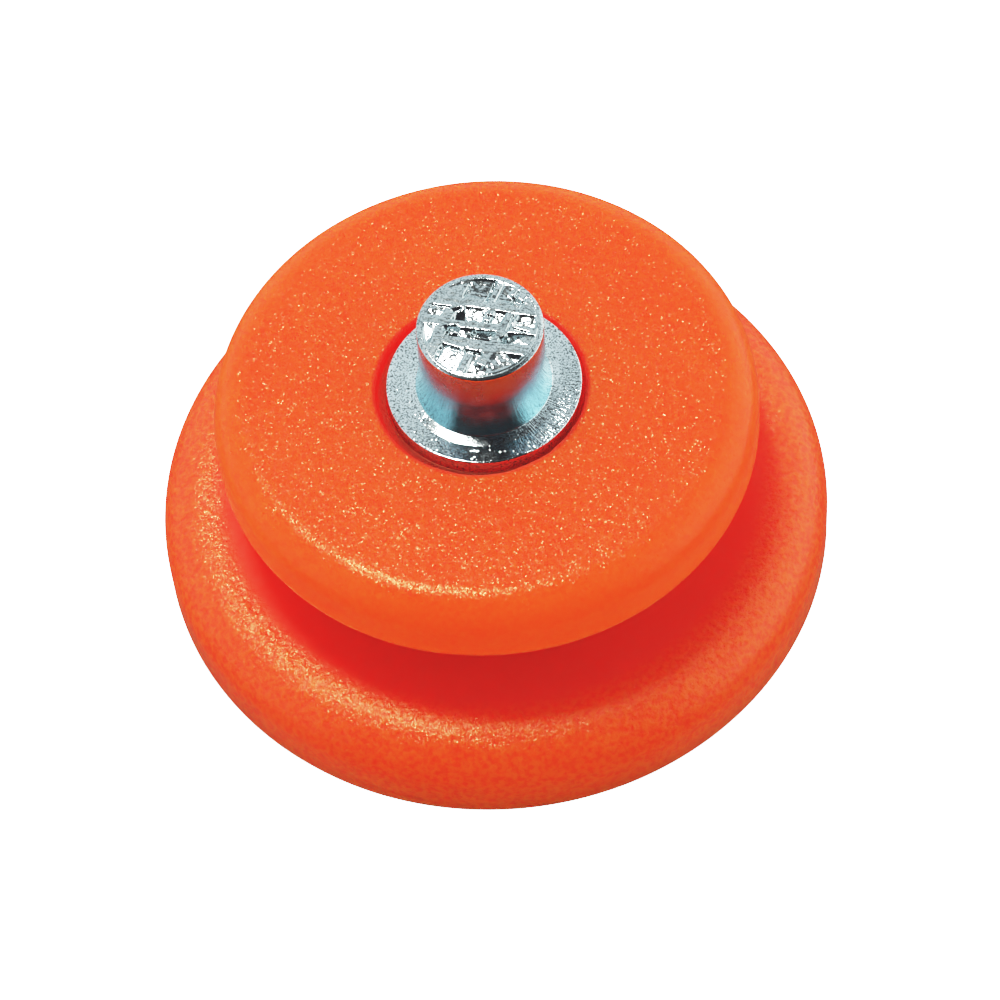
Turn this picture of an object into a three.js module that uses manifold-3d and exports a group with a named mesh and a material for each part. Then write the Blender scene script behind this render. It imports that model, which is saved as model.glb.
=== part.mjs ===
// Push-in traction stud: a spool-shaped plastic button moulded around a steel stud.
// The wide flange lies inside a rubber sole, the rubber fills the groove, the small
// flange locks on the outside and the steel tip bites the ground.
// Millimetres, +Z up along the stud, origin at the centre of the wide flange's underside.

import * as THREE from 'three';
import { mergeVertices } from 'three/addons/utils/BufferGeometryUtils.js';
import Module from 'manifold-3d';

const wasm = await Module();
wasm.setup();

// ---- Driving dimensions -------------------------------------------------------------

// Plastic button
const WIDE_FLANGE_R = 10;
const WIDE_FLANGE_T = 3.1;
const WIDE_TOP_ROUND = 1.45;
const WIDE_BOTTOM_ROUND = 0.6;
const GROOVE_H = 2.05;
const NECK_R = 5;
const NECK_FILLET = 0.3;
const SMALL_FLANGE_R = 7.95;
const SMALL_FLANGE_T = 2.6;
const SMALL_TOP_ROUND = 1.05;
const SMALL_BOTTOM_ROUND = 0.8;
const GATE_MARK_R = 0.9;
const GATE_MARK_DEPTH = 0.25;
const GATE_MARK_DRAFT = 0.1;

// Ring left open around the stud's collar, and the clearance of the moulded pocket
const MOAT_OUTER_R = 3.04;
const MOAT_DEPTH = 0.3;
const POCKET_GAP = 0.05;

// Steel stud, outside the plastic
const COLLAR_R = 2.84;
const COLLAR_T = 0.8;
const COLLAR_PROUD = 0.12;
const COLLAR_CHAMFER = 0.06;
const COLLAR_RISE = 0.03;
const CONE_FOOT_R = 2.4;
const CONE_DEG = 12.5;
const FLARE_W = 0.165;
const FLARE_H = 1.2;
const FLARE_POWER = 2.2;
const TIP_R = 1.82;
const TIP_H = 2.8;
const RIM_CHAMFER_W = 0.13;
const RIM_CHAMFER_DEG = 16;
const RIM_ROUND = 0.04;

// Cross-cut grip on the tip's face
const GRIP_R = 1.63;
const GRIP_PITCH = 0.72;
const GRIP_RIDGE = 0.25;
const GRIP_DEPTH = 0.16;
const GRIP_ROW_DEG = -16;
const GRIP_CUT_DEG = 62;

// Steel stud, held inside the plastic
const SHANK_R = 1.6;
const KNURL_ROOT_R = 1.7;
const KNURL_TIP_R = 1.95;
const KNURL_TEETH = 18;
const KNURL_H = 2.6;
const FOOT_R = 3.6;
const FOOT_T = 0.9;
const FOOT_Z = 1.5;
const FOOT_CHAMFER = 0.2;

// Facets
const SEGMENTS = 64;
const ROUND_STEPS = 5;
const FLARE_STEPS = 6;

// ---- Heights worked out from them ----------------------------------------------------

const smallFlangeZ = WIDE_FLANGE_T + GROOVE_H;
const buttonTopZ = smallFlangeZ + SMALL_FLANGE_T;
const moatFloorZ = buttonTopZ - MOAT_DEPTH;
const collarTopZ = buttonTopZ + COLLAR_PROUD;
const collarUnderZ = collarTopZ - COLLAR_T;
const coneFootZ = collarTopZ + COLLAR_RISE;
const footTopZ = FOOT_Z + FOOT_T;
const tipTopZ = collarTopZ + TIP_H;
const knurlZ = (footTopZ + collarUnderZ - KNURL_H) / 2;

// ---- Shape helpers -------------------------------------------------------------------

const radians = (degrees) => degrees * Math.PI / 180;

// Points of an arc about (r, z), from one angle to the other, both ends included.
function arc(r, z, radius, fromDeg, toDeg, steps = ROUND_STEPS) {
  const points = [];
  for (let i = 0; i <= steps; i += 1) {
    const angle = radians(fromDeg + (toDeg - fromDeg) * i / steps);
    points.push([r + radius * Math.cos(angle), z + radius * Math.sin(angle)]);
  }
  return points;
}

// A turned solid from (radius, height) points, with its axis on +Z.
function turned(points) {
  const profile = points.map(([r, z]) => new THREE.Vector2(r, z));
  return new THREE.LatheGeometry(profile, SEGMENTS).rotateX(Math.PI / 2);
}

// A flat outline drawn upwards from height z.
function prism(outline, z, height) {
  const shape = new THREE.Shape(outline.map(([x, y]) => new THREE.Vector2(x, y)));
  const geometry = new THREE.ExtrudeGeometry(shape, { depth: height, bevelEnabled: false });
  return geometry.translate(0, 0, z);
}

// A closed geometry as a solid that can be cut and joined.
function solid(geometry) {
  const bare = geometry.clone();
  bare.deleteAttribute('normal');
  bare.deleteAttribute('uv');
  const merged = mergeVertices(bare);
  const index = merged.index.array;
  const triangles = [];
  for (let i = 0; i < index.length; i += 3) {
    const [a, b, c] = [index[i], index[i + 1], index[i + 2]];
    if (a !== b && b !== c && c !== a) {
      triangles.push(a, b, c);
    }
  }
  return new wasm.Manifold(new wasm.Mesh({
    numProp: 3,
    vertProperties: new Float32Array(merged.attributes.position.array),
    triVerts: new Uint32Array(triangles),
  }));
}

// A solid back as a geometry.
function geometryOf(body) {
  const mesh = body.getMesh();
  const geometry = new THREE.BufferGeometry();
  geometry.setAttribute('position', new THREE.BufferAttribute(mesh.vertProperties, 3));
  geometry.setIndex(new THREE.BufferAttribute(mesh.triVerts, 1));
  geometry.computeVertexNormals();
  return geometry;
}

function namedMesh(name, geometry, material) {
  const mesh = new THREE.Mesh(geometry, material);
  mesh.name = name;
  return mesh;
}

// ---- Plastic button ------------------------------------------------------------------

// Wide flange, from the gate mark under its centre to its flat upper face.
function wideFlangeProfile() {
  return [
    [0, GATE_MARK_DEPTH],
    [GATE_MARK_R, GATE_MARK_DEPTH],
    [GATE_MARK_R + GATE_MARK_DRAFT, 0],
    ...arc(WIDE_FLANGE_R - WIDE_BOTTOM_ROUND, WIDE_BOTTOM_ROUND, WIDE_BOTTOM_ROUND, -90, 0, 3),
    ...arc(WIDE_FLANGE_R - WIDE_TOP_ROUND, WIDE_FLANGE_T - WIDE_TOP_ROUND, WIDE_TOP_ROUND, 0, 90),
  ];
}

// Neck between the flanges, with a small fillet at each end.
function neckProfile() {
  const filletR = NECK_R + NECK_FILLET;
  return [
    ...arc(filletR, WIDE_FLANGE_T + NECK_FILLET, NECK_FILLET, 270, 180, 2),
    ...arc(filletR, smallFlangeZ - NECK_FILLET, NECK_FILLET, 180, 90, 2),
  ];
}

function smallFlangeProfile() {
  const undersideR = SMALL_FLANGE_R - SMALL_BOTTOM_ROUND;
  const topR = SMALL_FLANGE_R - SMALL_TOP_ROUND;
  return [
    ...arc(undersideR, smallFlangeZ + SMALL_BOTTOM_ROUND, SMALL_BOTTOM_ROUND, -90, 0, 3),
    ...arc(topR, buttonTopZ - SMALL_TOP_ROUND, SMALL_TOP_ROUND, 0, 90),
  ];
}

// Open ring around the collar, then the pocket that holds the collar, shank and foot.
function pocketProfile() {
  return [
    [MOAT_OUTER_R, buttonTopZ],
    [MOAT_OUTER_R, moatFloorZ],
    [COLLAR_R + POCKET_GAP, moatFloorZ],
    [COLLAR_R + POCKET_GAP, collarUnderZ - POCKET_GAP],
    [KNURL_TIP_R + POCKET_GAP, collarUnderZ - POCKET_GAP],
    [KNURL_TIP_R + POCKET_GAP, footTopZ + POCKET_GAP],
    [FOOT_R + POCKET_GAP, footTopZ + POCKET_GAP],
    [FOOT_R + POCKET_GAP, FOOT_Z - POCKET_GAP],
    [0, FOOT_Z - POCKET_GAP],
  ];
}

function buttonGeometry() {
  return turned([
    ...wideFlangeProfile(),
    ...neckProfile(),
    ...smallFlangeProfile(),
    ...pocketProfile(),
  ]);
}

// ---- Steel stud ----------------------------------------------------------------------

// Foot plate and shank, from the foot's underside to the collar's underside.
function heldProfile() {
  return [
    [0, FOOT_Z],
    [FOOT_R - FOOT_CHAMFER, FOOT_Z],
    [FOOT_R, FOOT_Z + FOOT_CHAMFER],
    [FOOT_R, footTopZ - FOOT_CHAMFER],
    [FOOT_R - FOOT_CHAMFER, footTopZ],
    [SHANK_R, footTopZ],
    [SHANK_R, collarUnderZ],
  ];
}

// Collar with a nearly flat rim, then a shallow cone that starts at the last point.
function collarProfile() {
  return [
    [COLLAR_R, collarUnderZ],
    [COLLAR_R, collarTopZ - COLLAR_CHAMFER],
    [COLLAR_R - COLLAR_CHAMFER, collarTopZ],
    [CONE_FOOT_R, coneFootZ],
  ];
}

// Hollow flare from the top of the cone, straight tip, and its lightly chamfered rim.
function tipProfile() {
  const coneH = (CONE_FOOT_R - TIP_R - FLARE_W) * Math.tan(radians(CONE_DEG));
  const footZ = coneFootZ + coneH;
  const edgeZ = tipTopZ - RIM_CHAMFER_W * Math.tan(radians(RIM_CHAMFER_DEG));
  const flare = [];
  for (let step = 0; step <= FLARE_STEPS; step += 1) {
    const rise = step / FLARE_STEPS;
    flare.push([TIP_R + FLARE_W * (1 - rise) ** FLARE_POWER, footZ + FLARE_H * rise]);
  }
  return [
    ...flare,
    [TIP_R, edgeZ - RIM_ROUND],
    [TIP_R - RIM_ROUND, edgeZ],
    [TIP_R - RIM_CHAMFER_W, tipTopZ],
    [0, tipTopZ],
  ];
}

// Toothed band that stops the shank from turning in the plastic.
function knurlOutline() {
  const outline = [];
  for (let tooth = 0; tooth < KNURL_TEETH; tooth += 1) {
    for (const [offset, radius] of [[0, KNURL_TIP_R], [0.5, KNURL_ROOT_R]]) {
      const angle = radians(360 * (tooth + offset) / KNURL_TEETH);
      outline.push([radius * Math.cos(angle), radius * Math.sin(angle)]);
    }
  }
  return outline;
}

// Sunk pockets between two crossing sets of ridges, kept inside the rim.
function gripPockets() {
  const row = new THREE.Vector2(1, 0).rotateAround(new THREE.Vector2(), radians(GRIP_ROW_DEG));
  const cut = new THREE.Vector2(1, 0).rotateAround(new THREE.Vector2(), radians(GRIP_CUT_DEG));
  const stretch = 1 / Math.abs(row.cross(cut));
  const pitch = GRIP_PITCH * stretch;
  const half = (GRIP_PITCH - GRIP_RIDGE) * stretch / 2;
  const count = Math.ceil(GRIP_R / GRIP_PITCH);
  const corners = [[-1, -1], [1, -1], [1, 1], [-1, 1]];
  const pockets = [];
  for (let i = -count; i <= count; i += 1) {
    for (let j = -count; j <= count; j += 1) {
      const outline = corners.map(([u, v]) => {
        const corner = row.clone().multiplyScalar(i * pitch + u * half);
        corner.addScaledVector(cut, j * pitch + v * half);
        return [corner.x, corner.y];
      });
      pockets.push(solid(prism(outline, tipTopZ - GRIP_DEPTH, 2 * GRIP_DEPTH)));
    }
  }
  const disc = solid(turned([
    [0, tipTopZ - 2 * GRIP_DEPTH],
    [GRIP_R, tipTopZ - 2 * GRIP_DEPTH],
    [GRIP_R, tipTopZ + 2 * GRIP_DEPTH],
    [0, tipTopZ + 2 * GRIP_DEPTH],
  ]));
  return pockets.reduce((all, pocket) => all.add(pocket)).intersect(disc);
}

function studGeometry() {
  const lathe = solid(turned([...heldProfile(), ...collarProfile(), ...tipProfile()]));
  const knurl = solid(prism(knurlOutline(), knurlZ, KNURL_H));
  return geometryOf(lathe.add(knurl).subtract(gripPockets()));
}

// ---- Assembly ------------------------------------------------------------------------

const orangePlastic = new THREE.MeshStandardMaterial({ color: 0xf0582a, roughness: 0.45, metalness: 0 });
const zincSteel = new THREE.MeshStandardMaterial({ color: 0xc6ced2, roughness: 0.3, metalness: 1 });

const group = new THREE.Group();
group.add(
  namedMesh('plastic_button', buttonGeometry(), orangePlastic),
  namedMesh('steel_stud', studGeometry(), zincSteel),
);

export default group;
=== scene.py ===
import math

import bpy
import numpy as np
from mathutils import Matrix, Vector, noise


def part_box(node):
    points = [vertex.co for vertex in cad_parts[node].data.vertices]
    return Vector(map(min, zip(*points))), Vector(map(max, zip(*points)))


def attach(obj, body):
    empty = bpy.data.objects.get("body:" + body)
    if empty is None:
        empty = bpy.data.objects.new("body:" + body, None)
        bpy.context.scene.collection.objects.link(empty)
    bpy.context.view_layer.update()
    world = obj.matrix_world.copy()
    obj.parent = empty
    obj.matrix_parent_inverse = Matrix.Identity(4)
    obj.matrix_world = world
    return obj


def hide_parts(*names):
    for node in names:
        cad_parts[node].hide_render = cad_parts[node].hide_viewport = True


# Push-in traction stud: an orange plastic button moulded around a zinc-plated steel stud.
# Shapes are worked out in millimetres and stored in metres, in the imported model's frame.

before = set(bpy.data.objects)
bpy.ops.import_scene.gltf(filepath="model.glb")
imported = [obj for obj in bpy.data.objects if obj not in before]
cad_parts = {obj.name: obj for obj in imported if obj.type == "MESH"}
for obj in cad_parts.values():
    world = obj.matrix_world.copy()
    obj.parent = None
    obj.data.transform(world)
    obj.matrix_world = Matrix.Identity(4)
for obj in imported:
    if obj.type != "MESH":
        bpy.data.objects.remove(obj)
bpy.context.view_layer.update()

MM = 0.001
BODY = "root"

# ---- Sizes from the frame (mm) --------------------------------------------------------

button_low, button_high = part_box("plastic_button")
stud_low, stud_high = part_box("steel_stud")
WIDE_R = button_high.x / MM
BUTTON_TOP = button_high.z / MM
FOOT_R = stud_high.x / MM
FOOT_Z = stud_low.z / MM
TIP_TOP = stud_high.z / MM

# ---- Sizes of the button (mm) ---------------------------------------------------------

WIDE_T = 3.1
WIDE_TOP_ROUND = 1.45
WIDE_BOTTOM_ROUND = 0.6
GROOVE_H = 2.05
NECK_R = 5.0
NECK_FILLET = 0.3
SMALL_R = 7.95
SMALL_TOP_ROUND = 1.05
SMALL_BOTTOM_ROUND = 0.8
GATE_R = 0.9
GATE_DEPTH = 0.25
MOAT_R = 3.04
MOAT_DEPTH = 0.3
MOAT_LIP = 0.10
MOAT_SHIFT = (-0.10, -0.07)
POCKET_GAP = 0.05

# ---- Sizes of the stud (mm) -----------------------------------------------------------

COLLAR_R = 2.84
COLLAR_T = 0.8
COLLAR_PROUD = 0.12
COLLAR_EDGE = 0.05
COLLAR_RISE = 0.03
COLLAR_SLOPE = 4.0
CONE_FOOT_R = 2.30
CONE_SLOPE = 11.5
BLEND_R = 0.15
FLARE = 0.165
FLARE_H = 1.2
FLARE_POWER = 1.9
TIP_R = 1.82
RIM_ROUND = 0.035
RIM_SLOPE = 20.0
RIM_INNER_R = 1.69
RIM_GROOVE_R = 1.66
RIM_GROOVE_DEPTH = 0.06
TIP_TILT = 2.0
TIP_SHIFT = 0.03
SHANK_R = 1.6
KNURL_R = 1.95
KNURL_TEETH = 18
KNURL_H = 2.6
FOOT_T = 0.9
FOOT_EDGE = 0.2

small_z = WIDE_T + GROOVE_H
moat_z = BUTTON_TOP - MOAT_DEPTH
collar_z = BUTTON_TOP + COLLAR_PROUD
collar_under = collar_z - COLLAR_T
foot_top = FOOT_Z + FOOT_T

# ---- Profile and mesh helpers ---------------------------------------------------------


def arc(r, z, radius, start, stop, steps):
    """Points of an arc about (r, z), angles in degrees, both ends included."""
    angles = np.radians(np.linspace(start, stop, steps + 1))
    return [(r + radius * math.cos(a), z + radius * math.sin(a)) for a in angles]


def run(start, stop, step):
    """Points along a straight stretch of a profile, without its last point."""
    length = math.dist(start, stop)
    count = max(1, round(length / step))
    ends = np.array(start), np.array(stop)
    return [tuple(ends[0] + (ends[1] - ends[0]) * i / count) for i in range(count)]


def ring_points(profile, segments):
    """Rings of points for a turned shape, and how many points each ring has."""
    points, counts = [], []
    for r, z in profile:
        count = 1 if r < 1e-6 else segments
        angles = np.linspace(0, 2 * math.pi, count, endpoint=False)
        ring = np.column_stack([r * np.cos(angles), r * np.sin(angles), np.full(count, z)])
        points.append(ring)
        counts.append(count)
    return np.vstack(points), counts


def ring_faces(counts):
    """Faces between successive rings, facing out for a profile that runs up the outside."""
    faces, start = [], 0
    for lower, upper in zip(counts, counts[1:]):
        above = start + lower
        for i in range(max(lower, upper)):
            j = (i + 1) % max(lower, upper)
            if lower == 1:
                faces.append((start, above + j, above + i))
            elif upper == 1:
                faces.append((start + i, start + j, above))
            else:
                faces.append((start + i, start + j, above + j, above + i))
        start = above
    return faces


def make_object(name, points, faces, materials, face_slots=None):
    """A smooth-shaded mesh object from points in millimetres."""
    mesh = bpy.data.meshes.new(name)
    mesh.from_pydata((np.asarray(points) * MM).tolist(), [], faces)
    for material in materials:
        mesh.materials.append(material)
    if face_slots is not None:
        mesh.polygons.foreach_set("material_index", face_slots)
    mesh.polygons.foreach_set("use_smooth", [True] * len(faces))
    mesh.update()
    made = bpy.data.objects.new(name, mesh)
    bpy.context.scene.collection.objects.link(made)
    return made


def smoothstep(low, high, value):
    """0 below low and 1 above high, with a soft step between; low may be the larger."""
    t = np.clip((value - low) / (high - low), 0, 1)
    return t * t * (3 - 2 * t)


# ---- Node helpers ---------------------------------------------------------------------


class Nodes:
    """Short calls that add nodes to a node tree."""

    def __init__(self, tree):
        self.tree = tree
        self.coordinates = tree.nodes.new("ShaderNodeTexCoord")

    def link(self, value, socket):
        if isinstance(value, bpy.types.NodeSocket):
            self.tree.links.new(value, socket)
        else:
            socket.default_value = value

    def math(self, operation, a, b=0.0, clamp=False):
        node = self.tree.nodes.new("ShaderNodeMath")
        node.operation = operation
        node.use_clamp = clamp
        self.link(a, node.inputs[0])
        self.link(b, node.inputs[1])
        return node.outputs[0]

    def vector(self, operation, a, b=(0, 0, 0)):
        node = self.tree.nodes.new("ShaderNodeVectorMath")
        node.operation = operation
        self.link(a, node.inputs[0])
        self.link(b, node.inputs[1])
        return node.outputs["Value"] if operation in ("LENGTH", "DOT_PRODUCT") else node.outputs[0]

    def split(self, vector):
        node = self.tree.nodes.new("ShaderNodeSeparateXYZ")
        self.link(vector, node.inputs[0])
        return node.outputs

    def join(self, x, y, z):
        node = self.tree.nodes.new("ShaderNodeCombineXYZ")
        for value, socket in zip((x, y, z), node.inputs):
            self.link(value, socket)
        return node.outputs[0]

    def noise(self, scale, detail=2.0, roughness=0.5, at=None):
        node = self.tree.nodes.new("ShaderNodeTexNoise")
        self.link(self.position if at is None else at, node.inputs["Vector"])
        node.inputs["Scale"].default_value = scale
        node.inputs["Detail"].default_value = detail
        node.inputs["Roughness"].default_value = roughness
        return node.outputs["Fac"]

    def facets(self, scale, tilt, rest=0.0, power=4.0, normal=None):
        """A normal that leans at random from one small cell to the next, as crystals or shot marks do.

        Most cells lean by little more than rest, and a few by up to rest plus tilt."""
        node = self.tree.nodes.new("ShaderNodeTexVoronoi")
        self.link(self.position, node.inputs["Vector"])
        node.inputs["Scale"].default_value = scale
        color = node.outputs["Color"]
        lean = self.vector("SUBTRACT", color, (0.5, 0.5, 0.5))
        rare = self.math("POWER", self.split(color)[2], power)
        amount = self.math("ADD", self.math("MULTIPLY", rare, tilt), rest)
        lean = self.vector("MULTIPLY", lean, self.join(amount, amount, 0.0))
        if normal is None:
            normal = self.tree.nodes.new("ShaderNodeNewGeometry").outputs["Normal"]
        return self.vector("NORMALIZE", self.vector("ADD", normal, lean))

    def remap(self, value, from_low, from_high, to_low=0.0, to_high=1.0):
        node = self.tree.nodes.new("ShaderNodeMapRange")
        self.link(value, node.inputs["Value"])
        for name, number in (("From Min", from_low), ("From Max", from_high),
                             ("To Min", to_low), ("To Max", to_high)):
            self.link(number, node.inputs[name])
        return node.outputs["Result"]

    def smooth(self, value, low, high):
        """0 below low and 1 above high, with a soft step between; low may be the larger."""
        node = self.tree.nodes.new("ShaderNodeMapRange")
        node.interpolation_type = "SMOOTHSTEP"
        self.link(value, node.inputs["Value"])
        node.inputs["From Min"].default_value = low
        node.inputs["From Max"].default_value = high
        return node.outputs["Result"]

    def mix_color(self, factor, a, b):
        node = self.tree.nodes.new("ShaderNodeMix")
        node.data_type = "RGBA"
        self.link(factor, node.inputs[0])
        self.link(a, node.inputs[6])
        self.link(b, node.inputs[7])
        return node.outputs[2]

    def bump(self, height, depth_mm, normal=None, strength=1.0):
        node = self.tree.nodes.new("ShaderNodeBump")
        node.inputs["Distance"].default_value = depth_mm * MM
        self.link(strength, node.inputs["Strength"])
        self.link(height, node.inputs["Height"])
        if normal is not None:
            self.link(normal, node.inputs["Normal"])
        return node.outputs[0]


class MaterialNodes(Nodes):
    """A new material's nodes, with the object's position in millimetres at hand."""

    def __init__(self, name):
        self.material = bpy.data.materials.new(name)
        self.material.use_nodes = True
        super().__init__(self.material.node_tree)
        self.shader = self.tree.nodes["Principled BSDF"]
        self.position = self.vector("MULTIPLY", self.coordinates.outputs["Object"], (1 / MM,) * 3)

    def set(self, **sockets):
        for name, value in sockets.items():
            self.link(value, self.shader.inputs[name.replace("_", " ")])


def rgb(red, green, blue):
    return (red, green, blue, 1.0)


# ---- Materials ------------------------------------------------------------------------

BACKDROP_BRIGHTNESS = 4.0

# Plastic colours, each from its darker to its lighter shade.
TOP_SHADES = rgb(0.99, 0.043, 0.0025), rgb(1.0, 0.055, 0.0035)
# Painted light: the small flange's rounded edge and wall get lighter shades than its top, standing in for the
# light that reaches them.
EDGE_PAINTED_LIGHT_SHADES = rgb(0.99, 0.064, 0.004), rgb(1.0, 0.078, 0.005)
# On the wide flange the darker shade is painted shade in the grain's hollows, and the lighter one sits on its
# crests.
WIDE_SHADES = rgb(0.96, 0.034, 0.003), rgb(1.0, 0.078, 0.006)
# Painted shade: the groove under the small flange is coloured a deeper red.
GROOVE_SHADE_COLOR = rgb(1.0, 0.032, 0.016)
# Painted shadow: the moat's lip and floor round the collar are coloured a darker red.
MOAT_LIP_SHADE_COLOR = rgb(0.80, 0.012, 0.006)
MOAT_SHADOW_COLOR = rgb(0.55, 0.012, 0.006)
PLASTIC_GLOSS = 0.24
MOAT_GLOSS = 0.02

# Zinc colours: where it isn't seen, low and high on the neck, on the collar, and on the tip.
HIDDEN_ZINC = (0.72, 0.80, 0.82)
LOW_NECK_ZINC = (0.34, 0.67, 0.78)
# The high-neck tone is darker than the low one: painted dimming of the upper neck's reflections.
DIMMED_HIGH_NECK_ZINC = (0.29, 0.40, 0.50)
COLLAR_ZINC = (0.80, 0.94, 0.98)
TIP_ZINC = (0.66, 0.77, 0.80)
SPECK_COLOR = rgb(0, 0.01, 0.012)

# The zinc's crystals, and the side of the collar where its heading marks are plainest.
ZINC_FACET_SCALE = 38.0
ZINC_FACET_POWER = 12.0
STREAK_DIRECTION = (0.88, -0.47, 0.0)


def orange_plastic():
    """Translucent orange moulding: eroded grain that glints outside, smoother in the groove, with painted shade
    in the groove, the moat and the grain's hollows, and painted light on the small flange's edge.
    """
    n = MaterialNodes("orange_moulded_plastic")
    x, y, z = n.split(n.position)
    radius = n.vector("LENGTH", n.join(x, y, 0.0))
    up = n.split(n.tree.nodes.new("ShaderNodeNewGeometry").outputs["Normal"])[2]

    # Where each finish, painted shade and painted light lies, as values from 0 to 1.
    # The groove is smoother and less glossy, and carries painted shade.
    in_groove = n.math("MULTIPLY", n.smooth(z, small_z + 0.35, small_z - 0.1),
                       n.smooth(radius, SMALL_R + 0.75, SMALL_R - 0.2))
    grained = n.math("MULTIPLY", n.math("SUBTRACT", 1.0, in_groove), n.remap(up, 0.3, 0.95, 0.45, 1.0))
    on_wide = n.smooth(z, small_z, WIDE_T)
    # Painted light: the shades turn lighter towards the small flange's edge.
    painted_edge_light = n.smooth(radius, SMALL_R - 1.2, SMALL_R - 0.3)
    # Round the collar: the moat's lip and floor, which carry painted shadow and less gloss.
    from_moat = n.vector("LENGTH", n.join(n.math("SUBTRACT", x, MOAT_SHIFT[0]),
                                          n.math("SUBTRACT", y, MOAT_SHIFT[1]), 0.0))
    near_top = n.smooth(z, moat_z - 0.4, moat_z - 0.2)
    at_moat = n.math("MULTIPLY", n.smooth(from_moat, MOAT_R + 0.20, MOAT_R + 0.06), near_top)
    in_moat = n.math("MULTIPLY", n.smooth(from_moat, MOAT_R + 0.02, MOAT_R - 0.12), near_top)

    # Relief: slow waves of the moulding, eroded grain, and small flats that glint.
    grain = n.noise(5.5, detail=3.0, roughness=0.55)
    grain_strength = n.math("MULTIPLY", grained, n.remap(on_wide, 0, 1, 0.3, 1.0))
    facet_rest = n.math("MULTIPLY", grained, n.remap(on_wide, 0, 1, 0.10, 0.17))
    normal = n.bump(n.noise(0.55, detail=2.0), 0.02)
    normal = n.bump(grain, 0.06, normal=normal, strength=grain_strength)
    normal = n.facets(22.0, n.math("MULTIPLY", grained, 0.66), facet_rest, power=3.5, normal=normal)

    # Colour: an uneven tone on top, painted light on the small flange's edge, painted shade in the wide
    # flange's grain hollows, and deeper red painted shade in the groove and moat.
    drift = n.math("MULTIPLY", n.noise(0.35, detail=3.0), 0.5)
    mottle = n.math("MULTIPLY", n.noise(6.0, detail=2.0), 0.5)
    shade = n.remap(n.math("ADD", drift, mottle), 0.35, 0.65)
    # Painted shade: darker in the grain's hollows on the wide flange, mixed with the uneven tone.
    painted_pit_shade = n.math("ADD", n.math("MULTIPLY", shade, 0.3), n.math("MULTIPLY", n.remap(grain, 0.38, 0.62), 0.7))
    color = n.mix_color(painted_edge_light, n.mix_color(shade, *TOP_SHADES), n.mix_color(shade, *EDGE_PAINTED_LIGHT_SHADES))
    color = n.mix_color(on_wide, color, n.mix_color(painted_pit_shade, *WIDE_SHADES))
    # Painted shade in the groove, and painted shadow on the moat's lip and floor.
    color = n.mix_color(in_groove, color, GROOVE_SHADE_COLOR)
    color = n.mix_color(at_moat, color, MOAT_LIP_SHADE_COLOR)
    color = n.mix_color(in_moat, color, MOAT_SHADOW_COLOR)

    gloss = n.math("MULTIPLY", n.remap(at_moat, 0.0, 1.0, PLASTIC_GLOSS, MOAT_GLOSS),
                   n.remap(on_wide, 0.0, 1.0, 1.0, 1.9))
    roughness = n.remap(n.noise(4.0, detail=1.0), 0.40, 0.65, 0.26, 0.17)
    n.set(Base_Color=color, Roughness=roughness, Normal=normal, IOR=1.5,
          Subsurface_Weight=1.0, Subsurface_Radius=(1.0, 0.16, 0.12), Subsurface_Scale=6.0 * MM,
          Specular_IOR_Level=n.math("MULTIPLY", gloss, n.remap(in_groove, 0.0, 1.0, 1.0, 0.35)),
          Specular_Tint=rgb(1.0, 0.74, 0.36))
    return n.material


def zinc(name, color, roughness, grain_scale, grain_depth, facet_tilt=0.0, facet_rest=0.0, streaks=0.0,
         specks=0.0, dimmed_upper_color=None):
    """Bright bluish zinc plating with a grain, and optional crystal facets, radial streaks and dark specks.

    With an upper colour, the plating turns to that darker tone up the neck and gets duller. The darker tone is
    a painted dimming of the reflections there."""
    n = MaterialNodes(name)
    x, y, z = n.split(n.position)
    normal = n.bump(n.noise(grain_scale, detail=2.0, roughness=0.6), grain_depth)
    if streaks:
        outward = n.join(x, y, 0.0)
        polar = n.join(n.math("MULTIPLY", n.math("ARCTAN2", y, x), 55.0),
                       n.math("MULTIPLY", n.vector("LENGTH", outward), 2.2), 0.0)
        # Heading marks run outwards, most of them between the front and the right.
        marked = n.smooth(n.vector("DOT_PRODUCT", n.vector("NORMALIZE", outward), STREAK_DIRECTION), 0.45, 0.95)
        normal = n.bump(n.noise(1.0, detail=2.0, at=polar), streaks, normal=normal, strength=marked)
    if facet_tilt or facet_rest:
        normal = n.facets(ZINC_FACET_SCALE, facet_tilt, facet_rest, power=ZINC_FACET_POWER, normal=normal)
    rough = n.remap(n.noise(2.2, detail=2.0), 0.3, 0.7, roughness * 0.8, roughness * 1.25)
    color = rgb(*color)
    # Painted dimming: up the neck the colour turns darker, standing in for the duller reflections there.
    if dimmed_upper_color:
        upper = n.smooth(z, collar_z + 0.7, collar_z + 1.8)
        color = n.mix_color(upper, color, rgb(*dimmed_upper_color))
        rough = n.math("MULTIPLY", rough, n.remap(upper, 0.3, 1.0, 1.0, 1.7))
    tone = n.mix_color(n.remap(n.noise(1.3, detail=3.0), 0.35, 0.7, 0.16, 0.0), color, rgb(0, 0, 0))
    if specks:
        tone = n.mix_color(n.remap(n.noise(19.0, detail=1.0), 0.52, 0.32, 0.0, specks), tone, SPECK_COLOR)
    n.set(Base_Color=tone, Metallic=1.0, Roughness=rough, Normal=normal)
    return n.material


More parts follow.
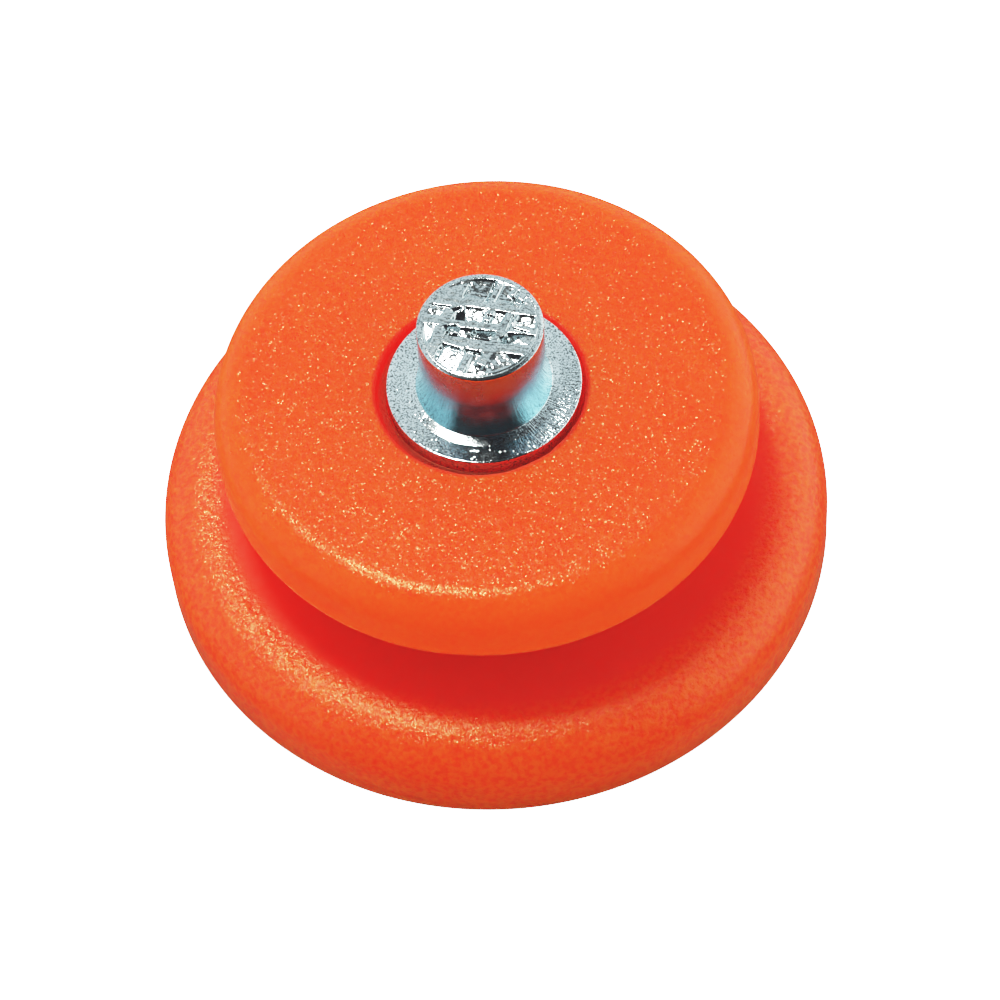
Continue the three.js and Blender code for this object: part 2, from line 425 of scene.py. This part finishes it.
def zinc_finishes():
    """The stud's finishes, in the order of its material slots."""
    return [
        zinc("zinc_held_in_plastic", HIDDEN_ZINC, 0.35, 8.0, 0.01),
        zinc("zinc_collar", COLLAR_ZINC, 0.08, 20.0, 0.0006, facet_tilt=0.34, facet_rest=0.04, streaks=0.013,
             specks=0.9),
        zinc("zinc_neck", LOW_NECK_ZINC, 0.14, 3.0, 0.002, dimmed_upper_color=DIMMED_HIGH_NECK_ZINC),
        zinc("zinc_rim", TIP_ZINC, 0.12, 16.0, 0.003, facet_tilt=0.3, facet_rest=0.05, specks=0.8),
        zinc("zinc_tip_face", TIP_ZINC, 0.12, 16.0, 0.0016, specks=0.6),
    ]


def white_backdrop():
    """Evenly lit paper: what the camera sees behind and below the object."""
    n = MaterialNodes("white_backdrop")
    n.set(Base_Color=rgb(0.9, 0.9, 0.9), Roughness=0.9, Emission_Color=rgb(1, 1, 1),
          Emission_Strength=BACKDROP_BRIGHTNESS)
    return n.material


def bounce_card():
    """Matt card that throws the lamp's light back up at the object's walls."""
    n = MaterialNodes("bounce_card")
    paper = n.noise(0.02, detail=3.0)
    n.set(Base_Color=n.mix_color(paper, rgb(0.92, 0.92, 0.92), rgb(0.96, 0.96, 0.96)), Roughness=0.9)
    return n.material


# ---- Plastic button -------------------------------------------------------------------


def button_profile():
    """Outline of the moulding, from the gate mark up the outside and down into the stud's pocket."""
    bottom = WIDE_R - WIDE_BOTTOM_ROUND
    top = WIDE_R - WIDE_TOP_ROUND
    neck = NECK_R + NECK_FILLET
    under = SMALL_R - SMALL_BOTTOM_ROUND
    face = SMALL_R - SMALL_TOP_ROUND
    collar_wall = COLLAR_R + POCKET_GAP
    knurl_wall = KNURL_R + POCKET_GAP
    foot_wall = FOOT_R + POCKET_GAP
    return [
        (0, GATE_DEPTH),
        *run((0.2, GATE_DEPTH), (GATE_R, GATE_DEPTH), 0.2),
        (GATE_R, GATE_DEPTH),
        (GATE_R + 0.07, 0.04),
        (GATE_R + 0.1, 0),
        *run((GATE_R + 0.15, 0), (bottom, 0), 0.4),
        *arc(bottom, WIDE_BOTTOM_ROUND, WIDE_BOTTOM_ROUND, -90, 0, 10),
        *arc(top, WIDE_T - WIDE_TOP_ROUND, WIDE_TOP_ROUND, 0, 90, 28),
        *run((top - 0.12, WIDE_T), (neck, WIDE_T), 0.25),
        *arc(neck, WIDE_T + NECK_FILLET, NECK_FILLET, 270, 180, 6),
        *arc(neck, small_z - NECK_FILLET, NECK_FILLET, 180, 90, 6),
        *run((neck + 0.12, small_z), (under, small_z), 0.25),
        *arc(under, small_z + SMALL_BOTTOM_ROUND, SMALL_BOTTOM_ROUND, -90, 0, 12),
        *arc(face, BUTTON_TOP - SMALL_TOP_ROUND, SMALL_TOP_ROUND, 0, 90, 20),
        *run((face - 0.1, BUTTON_TOP), (MOAT_R + MOAT_LIP, BUTTON_TOP), 0.1),
        *arc(MOAT_R + MOAT_LIP, BUTTON_TOP - MOAT_LIP, MOAT_LIP, 90, 180, 5),
        (MOAT_R, moat_z + 0.04),
        (MOAT_R - 0.03, moat_z),
        (collar_wall, moat_z),
        (collar_wall, collar_under - POCKET_GAP),
        (knurl_wall, collar_under - POCKET_GAP),
        (knurl_wall, foot_top + POCKET_GAP),
        (foot_wall, foot_top + POCKET_GAP),
        (foot_wall, FOOT_Z - POCKET_GAP),
        (0, FOOT_Z - POCKET_GAP),
    ]


# Waviness of the moulding and raggedness of the lip (mm), and where the lip is most torn (degrees).
MOULD_WAVE = 0.012
LIP_RAGGED = 0.02
LIP_TORN = 0.03
TORN_AT = -52.0


def settle_button(points):
    """Slight waviness of a real moulding, and a ragged, off-centre lip round the collar."""
    radius = np.hypot(points[:, 0], points[:, 1])
    angle = np.arctan2(points[:, 1], points[:, 0])
    outside = (radius > MOAT_R - 0.01) & (points[:, 2] > 0.3)
    wave = np.array([noise.noise(Vector(p) * 0.35) for p in points])
    points[:, 2] += np.where(outside & (radius > NECK_R), MOULD_WAVE * wave, 0)
    at_lip = smoothstep(MOAT_R + 0.45, MOAT_R + 0.06, radius) * (points[:, 2] > moat_z + 0.01) * outside
    ragged = np.array([noise.fractal(Vector((2.6 * math.cos(a), 2.6 * math.sin(a), 4.2)), 0.7, 2.0, 3)
                       for a in angle])
    torn = LIP_RAGGED + LIP_TORN * smoothstep(0.75, 0.95, np.cos(angle - math.radians(TORN_AT)))
    points[:, 0] += at_lip * (MOAT_SHIFT[0] + torn * ragged * np.cos(angle))
    points[:, 1] += at_lip * (MOAT_SHIFT[1] + torn * ragged * np.sin(angle))
    return points


def plastic_button():
    points, counts = ring_points(button_profile(), 360)
    return make_object("moulded_button", settle_button(points), ring_faces(counts), [orange_plastic()])


# ---- Steel stud -----------------------------------------------------------------------

FACE_R = 1.635
FACE_GRID = 160
POCKET_WALL = 0.10

# Raised ridges crossing the tip: a point on the ridge (mm), its direction in degrees, its
# half-width and how far it runs either way (mm).
RIDGES = [
    (0.0, 0.80, -16.5, 0.14, 2.0), (0.0, 0.01, -14, 0.095, 2.0), (0.0, -0.645, -16, 0.14, 1.3),
    (-1.15, -0.10, 65, 0.12, 1.0), (-0.47, -1.10, 62, 0.06, 0.45), (0.35, 0.45, 62, 0.06, 0.30),
    (0.45, -0.50, 57, 0.12, 0.95), (-0.95, 1.10, -16, 0.32, 0.50), (1.45, 0.75, -40, 0.12, 0.5),
]

# Sunk floors between the ridges: centre and depth (mm), lean to the front and to the left
# (degrees), and how rough the floor is (mm).
FLOORS = [
    (0.05, 1.25, 0.06, 5, -5, 0.006), (0.80, 0.98, 0.04, 4, -5, 0.005), (-1.30, 0.50, 0.03, 4, -2, 0.012),
    (-0.62, 0.45, 0.10, 26, 0, 0.012), (-0.12, 0.44, 0.07, 10, 5, 0.012), (0.55, 0.32, 0.07, 9, 3, 0.012),
    (1.22, 0.05, 0.06, 7, 3, 0.010), (-1.47, -0.10, 0.05, 9, 5, 0.010), (-0.85, -0.05, 0.12, 28, 0, 0.012),
    (-0.38, -0.17, 0.08, 16, -2, 0.012), (0.05, -0.33, 0.12, 28, 0, 0.012), (0.75, -0.42, 0.11, 26, 0, 0.012),
    (0.90, -0.85, 0.06, 9, 5, 0.005), (-1.35, -0.65, 0.05, 7, -1, 0.010), (-0.95, -0.90, 0.06, 10, 5, 0.010),
    (-0.25, -1.20, 0.06, 9, 4, 0.010), (0.45, -1.25, 0.03, 3, -3, 0.009),
]

# Open scored lines beside the ridges: start, end, half-width and depth (mm).
CUTS = [
    ((0.24, 0.80), (0.60, 1.52), 0.075, 0.07), ((0.97, 0.66), (1.20, 1.08), 0.075, 0.07),
    ((0.50, 0.78), (0.84, 1.44), 0.04, 0.035), ((-0.38, 1.02), (-0.17, 1.47), 0.055, 0.05),
    ((1.18, 0.48), (1.40, 0.84), 0.04, 0.035), ((-1.08, -0.52), (-0.64, -0.74), 0.075, 0.08),
    ((-0.44, -0.80), (-0.06, -0.95), 0.095, 0.10), ((-1.32, -0.93), (-1.16, -0.60), 0.065, 0.07),
    ((-0.98, 0.05), (-0.70, 0.03), 0.11, 0.12), ((-0.72, 0.62), (-0.52, 0.66), 0.08, 0.08),
    ((0.78, -0.22), (0.98, 0.22), 0.065, 0.06), ((1.02, 0.08), (1.25, 0.02), 0.035, 0.03),
    ((-0.20, -0.18), (0.35, -0.30), 0.10, 0.11), ((0.55, -0.52), (0.92, -0.48), 0.10, 0.11),
    ((0.15, 0.36), (0.42, 0.28), 0.05, 0.05), ((0.95, -0.20), (1.35, -0.38), 0.045, 0.045),
    ((-1.42, 0.92), (-0.80, 0.74), 0.05, 0.05),
]


def tip_relief(x, y):
    """Height of the cross-cut tip face above its plane, in millimetres."""
    off_ridge = np.full_like(x, 9.0)
    for px, py, direction, half_width, reach in RIDGES:
        dx, dy = math.cos(math.radians(direction)), math.sin(math.radians(direction))
        across = np.abs((x - px) * -dy + (y - py) * dx) - half_width
        beyond = np.abs((x - px) * dx + (y - py) * dy) - reach
        off_ridge = np.minimum(off_ridge, np.maximum(across, beyond))
    pocket = smoothstep(0, POCKET_WALL, off_ridge)
    rough = np.array([noise.fractal(Vector((a * 6, b * 6, 1.7)), 0.8, 2.1, 2) for a, b in zip(x, y)])
    brushed = np.array([noise.fractal(Vector((a * 2.0 - b * 0.6, a * 4.5 + b * 15, 0.3)), 0.7, 2.0, 2)
                        for a, b in zip(x, y)])
    nearest = np.argmin([np.hypot(x - fx, y - fy) for fx, fy, *_ in FLOORS], axis=0)
    fx, fy, depth, front, left, coarse = np.array(FLOORS).T[:, nearest]
    floor = (y - fy) * np.tan(np.radians(front)) + (x - fx) * np.tan(np.radians(left)) - depth
    height = pocket * (np.minimum(floor, -0.01) + coarse * rough) + 0.004 * rough + 0.003 * brushed
    for (ax, ay), (bx, by), half_width, depth in CUTS:
        length = math.hypot(bx - ax, by - ay)
        ux, uy = (bx - ax) / length, (by - ay) / length
        t = np.clip((x - ax) * ux + (y - ay) * uy, 0, length)
        distance = np.hypot(x - ax - t * ux, y - ay - t * uy)
        height = height - depth * (1 - smoothstep(0, half_width, distance))
    rim = smoothstep(FACE_R - 0.01, FACE_R - 0.06, np.hypot(x, y))
    return height * rim


def face_points():
    """A square grid wrapped onto the tip's round face, so that its edge has evenly spaced points."""
    steps = np.linspace(-1, 1, FACE_GRID + 1)
    a, b = np.meshgrid(steps, steps)
    wide = np.abs(a) >= np.abs(b)
    with np.errstate(divide="ignore", invalid="ignore"):
        turn = np.where(wide, math.pi / 4 * b / a, math.pi / 2 - math.pi / 4 * a / b)
    radius = np.where(wide, a, b) * FACE_R
    turn = np.nan_to_num(turn)
    return radius * np.cos(turn), radius * np.sin(turn)


def face_border():
    """Numbers of the grid's outermost points, once round."""
    last, width = FACE_GRID, FACE_GRID + 1
    right = [i * width + last for i in range(width)]
    top = [last * width + j for j in range(last - 1, -1, -1)]
    left = [i * width for i in range(last - 1, -1, -1)]
    bottom = list(range(1, last))
    return right + top + left + bottom


# Material slots of the stud.
HIDDEN, COLLAR, NECK, RIM, FACE = range(5)


def stud_profile():
    """Outline from the foot's underside to the inner edge of the tip's rim, with each row's slot."""
    cone = math.radians(CONE_SLOPE)
    cone_z = collar_z + COLLAR_RISE
    cone_end = CONE_FOOT_R - BLEND_R * math.sin(cone)
    cone_end_z = cone_z + BLEND_R * (1 - math.cos(cone))
    foot_r = TIP_R + FLARE
    foot_z = cone_end_z + (cone_end - foot_r) * math.tan(cone)
    chamfer = math.tan(math.radians(RIM_SLOPE))
    edge_z = TIP_TOP - (TIP_R - RIM_ROUND - RIM_INNER_R) * chamfer - RIM_ROUND
    hidden = [
        (0, FOOT_Z),
        (FOOT_R - FOOT_EDGE, FOOT_Z),
        (FOOT_R, FOOT_Z + FOOT_EDGE),
        (FOOT_R, foot_top - FOOT_EDGE),
        (FOOT_R - FOOT_EDGE, foot_top),
        (SHANK_R, foot_top),
        *run((SHANK_R, foot_top + 0.02), (SHANK_R, collar_under), 0.15),
        (SHANK_R, collar_under),
    ]
    collar = [
        *run((SHANK_R + 0.01, collar_under), (COLLAR_R, collar_under), 0.4),
        *run((COLLAR_R, collar_under), (COLLAR_R, collar_z - COLLAR_EDGE), 0.1),
        *arc(COLLAR_R - COLLAR_EDGE, collar_z - COLLAR_EDGE, COLLAR_EDGE, 0, 90, 6),
        *run((COLLAR_R - COLLAR_EDGE - 0.02, collar_z), (CONE_FOOT_R, cone_z), 0.05),
        *arc(CONE_FOOT_R, cone_z + BLEND_R, BLEND_R, -90 - COLLAR_SLOPE, -90 - CONE_SLOPE, 6),
        *run((cone_end - 0.02, cone_end_z + 0.02 * math.tan(cone)), (foot_r, foot_z), 0.03),
        (foot_r, foot_z),
    ]
    neck = [(TIP_R + FLARE * max(0.0, 1 - h / FLARE_H) ** FLARE_POWER, foot_z + h)
            for h in np.arange(0.03, edge_z - foot_z, 0.045)]
    rim = [
        *arc(TIP_R - RIM_ROUND, edge_z, RIM_ROUND, 0, 90 - RIM_SLOPE, 6),
        (RIM_INNER_R + 0.04, TIP_TOP - 0.04 * chamfer),
        (RIM_INNER_R, TIP_TOP),
        (RIM_GROOVE_R, TIP_TOP - RIM_GROOVE_DEPTH),
    ]
    parts = ((HIDDEN, hidden), (COLLAR, collar), (NECK, neck), (RIM, rim))
    rows = [(point, slot) for slot, part in parts for point in part]
    return [point for point, _ in rows], [slot for _, slot in rows]


def knurl(points):
    """Raises a toothed band on the shank inside the plastic."""
    radius = np.hypot(points[:, 0], points[:, 1])
    middle = (foot_top + collar_under) / 2
    band = (np.abs(radius - SHANK_R) < 0.005) & (np.abs(points[:, 2] - middle) < KNURL_H / 2)
    angle = np.arctan2(points[:, 1], points[:, 0])
    tooth = np.abs((angle * KNURL_TEETH / (2 * math.pi)) % 1 - 0.5) * 2
    grown = np.where(band, SHANK_R + 0.08 + (KNURL_R - SHANK_R - 0.08) * tooth, radius)
    scale = np.divide(grown, radius, out=np.ones_like(radius), where=radius > 1e-6)
    points[:, :2] *= scale[:, None]
    return points


def tilt_tip(points):
    """The tip is cut slightly off square: its face leans towards -Y."""
    lean = smoothstep(TIP_TOP - 1.2, TIP_TOP - 0.2, points[:, 2])
    at_groove = np.abs(np.hypot(points[:, 0], points[:, 1]) - RIM_GROOVE_R) < 0.005
    facing = np.cos(np.arctan2(points[:, 1], points[:, 0]) + math.radians(55))
    points[:, 2] += at_groove * (lean > 0) * RIM_GROOVE_DEPTH * (1 - smoothstep(-0.2, 0.5, facing))
    points[:, 2] += lean * (points[:, 1] - TIP_R) * math.tan(math.radians(TIP_TILT))
    points[:, 0] += TIP_SHIFT * smoothstep(collar_z + 0.2, TIP_TOP, points[:, 2])
    return points


def steel_stud(materials):
    """Turned body with the gridded tip face sewn to its last ring."""
    segments = 4 * FACE_GRID
    profile, row_slots = stud_profile()
    points, counts = ring_points(profile, segments)
    faces = ring_faces(counts)
    slots = []
    for row, (lower, upper) in enumerate(zip(counts, counts[1:])):
        slots += [row_slots[row + 1]] * max(lower, upper)
    points = knurl(points)
    last_ring = len(points) - segments
    x, y = face_points()
    z = TIP_TOP + tip_relief(x.ravel(), y.ravel()).reshape(x.shape)
    first = len(points)
    points = np.vstack([points, np.column_stack([x.ravel(), y.ravel(), z.ravel()])])
    width = FACE_GRID + 1
    for i in range(FACE_GRID):
        for j in range(FACE_GRID):
            a = first + i * width + j
            faces.append((a, a + 1, a + width + 1, a + width))
            slots.append(FACE)
    border = face_border()
    turn = np.arctan2(y.ravel()[border], x.ravel()[border])
    ring_index = np.round(turn / (2 * math.pi) * segments).astype(int) % segments
    by_ring = dict(zip(ring_index.tolist(), border))
    for i in range(segments):
        j = (i + 1) % segments
        faces.append((last_ring + i, last_ring + j, first + by_ring[j], first + by_ring[i]))
        slots.append(RIM)
    return make_object("plated_steel_stud", tilt_tip(points), faces, materials, slots)


# ---- Camera, floor and lights ---------------------------------------------------------

# The camera's place: degrees and millimetres.
VIEW_ELEVATION = 56.53
VIEW_ROLL = 5.3
VIEW_DISTANCE = 120.8
VIEW_TARGET = (0.145, 0.0, 1.61)
SENSOR_WIDTH = 36.0
LENS = 144.0

# The sheets lie just below the part, so that no face of theirs coincides with its underside (mm).
FLOOR_HALF = 3000.0
CARD_DROP = 0.02
FLOOR_DROP = CARD_DROP / 2

# The lamp above and slightly behind the object: metres.
KEY_DIRECTION = (-0.177, 0.21, 0.96)
KEY_DISTANCE = 0.40
KEY_SIZE = (0.07, 0.07)
KEY_RADIANCE = 180.0
KEY_COLOR = (1.0, 0.96, 0.88)

# Brightness of the room in each direction, as red, green and blue.
LEFT_WALL = (0.95, 1.08, 1.08)
RIGHT_WALL = (2.2, 2.35, 2.25)
REAR_WALL = (0.95, 1.05, 1.06)
FRONT_WALL = (0.02, 0.02, 0.025)
UPPER_WALLS = (0.92, 1.00, 1.01)
CEILING = (0.05, 0.055, 0.06)
BELOW = (0.25, 0.14, 0.09)

# Scene brightness against shown brightness: a soft shoulder, as a camera's sensor gives.
COMBINED_CURVE = 3
CURVE_WHITE = 3.0
SHOULDER = [(0.0, 0.012), (0.2, 0.206), (0.4, 0.4), (0.6, 0.565), (0.8, 0.68), (1.0, 0.765), (1.3, 0.835),
            (1.7, 0.875), (2.2, 0.90), (2.6, 0.93), (CURVE_WHITE, 1.0)]


def place_camera():
    """The camera looks down at the object from -Y, with a slight roll."""
    elevation, roll = math.radians(VIEW_ELEVATION), math.radians(VIEW_ROLL)
    back = Vector((0, -math.cos(elevation), math.sin(elevation)))
    level_up = Vector((0, math.sin(elevation), math.cos(elevation)))
    level_right = Vector((1, 0, 0))
    right = level_right * math.cos(roll) - level_up * math.sin(roll)
    up = level_right * math.sin(roll) + level_up * math.cos(roll)
    data = bpy.data.cameras.new("studio_camera")
    data.sensor_width = SENSOR_WIDTH
    data.lens = LENS
    data.clip_start = 0.001
    data.clip_end = 10
    camera = bpy.data.objects.new("studio_camera", data)
    turn = Matrix((right, up, back)).transposed().to_4x4()
    place = (Vector(VIEW_TARGET) + back * VIEW_DISTANCE) * MM
    camera.matrix_world = Matrix.Translation(place) @ turn
    bpy.context.scene.collection.objects.link(camera)
    bpy.context.scene.camera = camera


def soft_panel(name, direction, distance, size, radiance, color):
    """A rectangular light of the given size (m) and brightness, facing the object from a direction."""
    data = bpy.data.lights.new(name, "AREA")
    data.shape = "RECTANGLE"
    data.size, data.size_y = size
    data.energy = radiance * math.pi * size[0] * size[1]
    data.color = color
    panel = bpy.data.objects.new(name, data)
    aim = Vector(direction).normalized()
    panel.location = aim * distance
    panel.rotation_mode = "QUATERNION"
    panel.rotation_quaternion = aim.to_track_quat("Z", "Y")
    panel.visible_camera = False
    bpy.context.scene.collection.objects.link(panel)


def light_studio():
    soft_panel("key_lamp", KEY_DIRECTION, KEY_DISTANCE, KEY_SIZE, KEY_RADIANCE, KEY_COLOR)


def light_world():
    """The room: dark to the front and overhead, bright at both sides, and plain white to the camera."""
    world = bpy.data.worlds.new("studio_room")
    bpy.context.scene.world = world
    world.use_nodes = True
    tree = world.node_tree
    room = tree.nodes["Background"]
    n = Nodes(tree)
    x, y, z = n.split(n.coordinates.outputs["Generated"])
    across = n.vector("NORMALIZE", n.join(x, y, 0.0))
    side, depth, _ = n.split(across)
    forward = n.math("MULTIPLY", depth, -1.0)
    dark = n.smooth(forward, 0.40, 0.75)
    rear = n.smooth(forward, -0.55, -0.95)
    walls = n.mix_color(n.smooth(side, -0.5, 0.5), rgb(*LEFT_WALL), rgb(*RIGHT_WALL))
    walls = n.mix_color(rear, walls, rgb(*REAR_WALL))
    walls = n.mix_color(n.smooth(z, 0.64, 0.76), walls, rgb(*UPPER_WALLS))
    walls = n.mix_color(n.smooth(z, 0.84, 0.91), walls, rgb(*CEILING))
    walls = n.mix_color(n.smooth(z, -0.02, -0.30), walls, rgb(*BELOW))
    n.link(n.mix_color(dark, walls, rgb(*FRONT_WALL)), room.inputs["Color"])
    backdrop = tree.nodes.new("ShaderNodeBackground")
    backdrop.inputs["Color"].default_value = rgb(1, 1, 1)
    backdrop.inputs["Strength"].default_value = BACKDROP_BRIGHTNESS
    path = tree.nodes.new("ShaderNodeLightPath")
    mix = tree.nodes.new("ShaderNodeMixShader")
    tree.links.new(path.outputs["Is Camera Ray"], mix.inputs[0])
    tree.links.new(room.outputs[0], mix.inputs[1])
    tree.links.new(backdrop.outputs[0], mix.inputs[2])
    tree.links.new(mix.outputs[0], tree.nodes["World Output"].inputs[0])


def level_sheet(name, z, material):
    """A large square sheet at the given height (mm), out of sight of reflections."""
    corners = [(x * FLOOR_HALF, y * FLOOR_HALF, z) for x, y in ((-1, -1), (1, -1), (1, 1), (-1, 1))]
    sheet = make_object(name, corners, [(0, 1, 2, 3)], [material])
    sheet.visible_glossy = False
    return sheet


def lay_floor():
    """A floor that only the camera sees, over a card that only lights the object."""
    floor = level_sheet("studio_floor", -FLOOR_DROP, white_backdrop())
    floor.visible_diffuse = False
    floor.visible_transmission = False
    floor.visible_shadow = False
    card = level_sheet("bounce_card", -CARD_DROP, bounce_card())
    card.visible_camera = False


def set_exposure_curve():
    """Puts the shoulder on the combined curve of the view settings."""
    view = bpy.context.scene.view_settings
    view.view_transform = "Standard"
    view.look = "None"
    view.use_curve_mapping = True
    curves = view.curve_mapping
    curves.white_level = (CURVE_WHITE,) * 3
    points = curves.curves[COMBINED_CURVE].points
    points[0].location = SHOULDER[0]
    for light, shown in SHOULDER[1:-1]:
        points.new(light / CURVE_WHITE, shown)
    curves.update()


# ---- Assembly -------------------------------------------------------------------------

place_camera()
lay_floor()
light_studio()
light_world()

button = plastic_button()
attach(button, BODY)
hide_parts("plastic_button")

stud = steel_stud(zinc_finishes())
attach(stud, BODY)
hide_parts("steel_stud")

set_exposure_curve()
